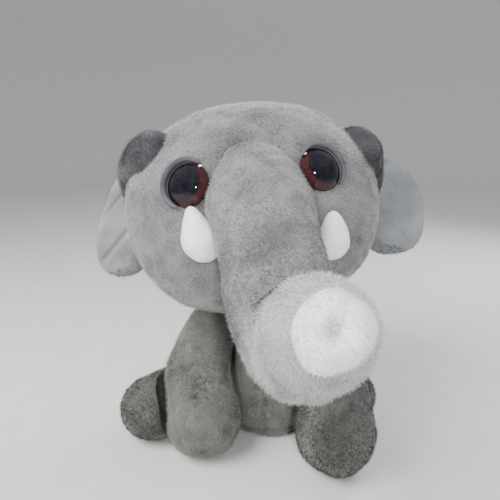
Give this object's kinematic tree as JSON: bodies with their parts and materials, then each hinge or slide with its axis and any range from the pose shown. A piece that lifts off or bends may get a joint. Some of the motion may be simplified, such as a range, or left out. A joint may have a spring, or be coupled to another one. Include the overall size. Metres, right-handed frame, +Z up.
{
  "type": "stuffed elephant",
  "caption": "Sitting stuffed elephant with a big head, long curling trunk, felt tusks, plastic safety eyes, folded ears and soft limbs that flex at sewn seams.",
  "frame": {"origin": "on the floor, on the flat seat under the torso, in the elephant's middle plane", "axes": "+Z up, the elephant faces -Y, +X towards its own left side"},
  "size_m": [0.2093, 0.2203, 0.1934],
  "materials": {
    "grey_plush": "matte",
    "polyester_filling": "matte",
    "white_felt": "matte",
    "ear_lining": "satin",
    "white_plush": "matte",
    "clear_dome": "gloss",
    "iris_paint": "gloss",
    "pupil_black": "gloss",
    "eye_plastic": "gloss",
    "washer_plastic": "satin",
    "lid_suede": "matte",
    "pellet_cloth": "matte",
    "label_satin": "satin"
  },
  "bodies": {
    "torso": {"care_label": "label_satin", "pellet_pouch": "pellet_cloth", "torso_skin": "grey_plush", "torso_stuffing": "polyester_filling"},
    "neck": {"neck_stuffing": "polyester_filling"},
    "head": {"eye_dome_left": "clear_dome", "eye_dome_right": "clear_dome", "eye_iris_left": "iris_paint", "eye_iris_right": "iris_paint", "eye_pupil_left": "pupil_black", "eye_pupil_right": "pupil_black", "eye_shank_left": "eye_plastic", "eye_shank_right": "eye_plastic", "eye_washer_left": "washer_plastic", "eye_washer_right": "washer_plastic", "eyelid_left": "lid_suede", "eyelid_right": "lid_suede", "head_skin": "grey_plush", "head_stuffing": "polyester_filling", "tusk_left": "white_felt", "tusk_right": "white_felt", "upper_trunk_skin": "grey_plush", "upper_trunk_stuffing": "polyester_filling"},
    "trunk": {"lower_trunk_skin": "grey_plush", "lower_trunk_stuffing": "polyester_filling", "trunk_tip_disc": "white_plush"},
    "ear_left": {"ear_back_left": "grey_plush", "ear_lining_left": "ear_lining", "ear_fold_left": "grey_plush"},
    "foreleg_left": {"foreleg_left_skin": "grey_plush", "foreleg_left_stuffing": "polyester_filling"},
    "hind_leg_left": {"hind_leg_left_skin": "grey_plush", "hind_leg_left_stuffing": "polyester_filling"},
    "ear_right": {"ear_back_right": "grey_plush", "ear_lining_right": "ear_lining", "ear_fold_right": "grey_plush"},
    "foreleg_right": {"foreleg_right_skin": "grey_plush", "foreleg_right_stuffing": "polyester_filling"},
    "hind_leg_right": {"hind_leg_right_skin": "grey_plush", "hind_leg_right_stuffing": "polyester_filling"},
    "tail": {"tail_skin": "grey_plush", "tail_stuffing": "polyester_filling"}
  },
  "joints": [
    {"name": "neck_turn", "type": "hinge", "parent": "torso", "child": "neck", "pos_m": [0, 0.003, 0.0775], "axis": [0, 0, 1], "range_deg": [-25, 25], "stiffness_Nm_per_rad": 0.8},
    {"name": "head_nod", "type": "hinge", "parent": "neck", "child": "head", "pos_m": [0, 0.003, 0.0775], "axis": [-1, 0, 0], "range_deg": [-7, 15], "stiffness_Nm_per_rad": 1.6},
    {"name": "trunk_lift", "type": "hinge", "parent": "head", "child": "trunk", "pos_m": [0.00457, -0.10192, 0.11131], "axis": [-0.9917, -0.0607, -0.1132], "range_deg": [-12, 30], "stiffness_Nm_per_rad": 0.12},
    {"name": "ear_left_flap", "type": "hinge", "parent": "head", "child": "ear_left", "pos_m": [0.05508, 0.01038, 0.12991], "axis": [-0.113, -0.0069, 0.9936], "range_deg": [-15, 25], "stiffness_Nm_per_rad": 0.03},
    {"name": "foreleg_left_swing", "type": "hinge", "parent": "torso", "child": "foreleg_left", "pos_m": [0.031, -0.003, 0.062], "axis": [-0.9932, -0.1162, 0], "range_deg": [-3, 40], "stiffness_Nm_per_rad": 0.5},
    {"name": "hind_leg_left_lift", "type": "hinge", "parent": "torso", "child": "hind_leg_left", "pos_m": [0.031, 0.009, 0.019], "axis": [-0.5882, -0.8087, 0], "range_deg": [-2, 20], "stiffness_Nm_per_rad": 0.4},
    {"name": "ear_right_flap", "type": "hinge", "parent": "head", "child": "ear_right", "pos_m": [-0.06594, 0.00297, 0.12516], "axis": [0.113, 0.0069, -0.9936], "range_deg": [-15, 25], "stiffness_Nm_per_rad": 0.03},
    {"name": "foreleg_right_swing", "type": "hinge", "parent": "torso", "child": "foreleg_right", "pos_m": [-0.032, 0, 0.061], "axis": [-0.9965, 0.083, 0], "range_deg": [-3, 40], "stiffness_Nm_per_rad": 0.5},
    {"name": "hind_leg_right_lift", "type": "hinge", "parent": "torso", "child": "hind_leg_right", "pos_m": [-0.031, 0.006, 0.019], "axis": [-0.6273, 0.7788, 0], "range_deg": [-2, 20], "stiffness_Nm_per_rad": 0.4},
    {"name": "tail_lift", "type": "hinge", "parent": "torso", "child": "tail", "pos_m": [0, 0.04, 0.025], "axis": [0.9988, -0.0499, 0], "range_deg": [-10, 35], "stiffness_Nm_per_rad": 0.01}
  ]
}
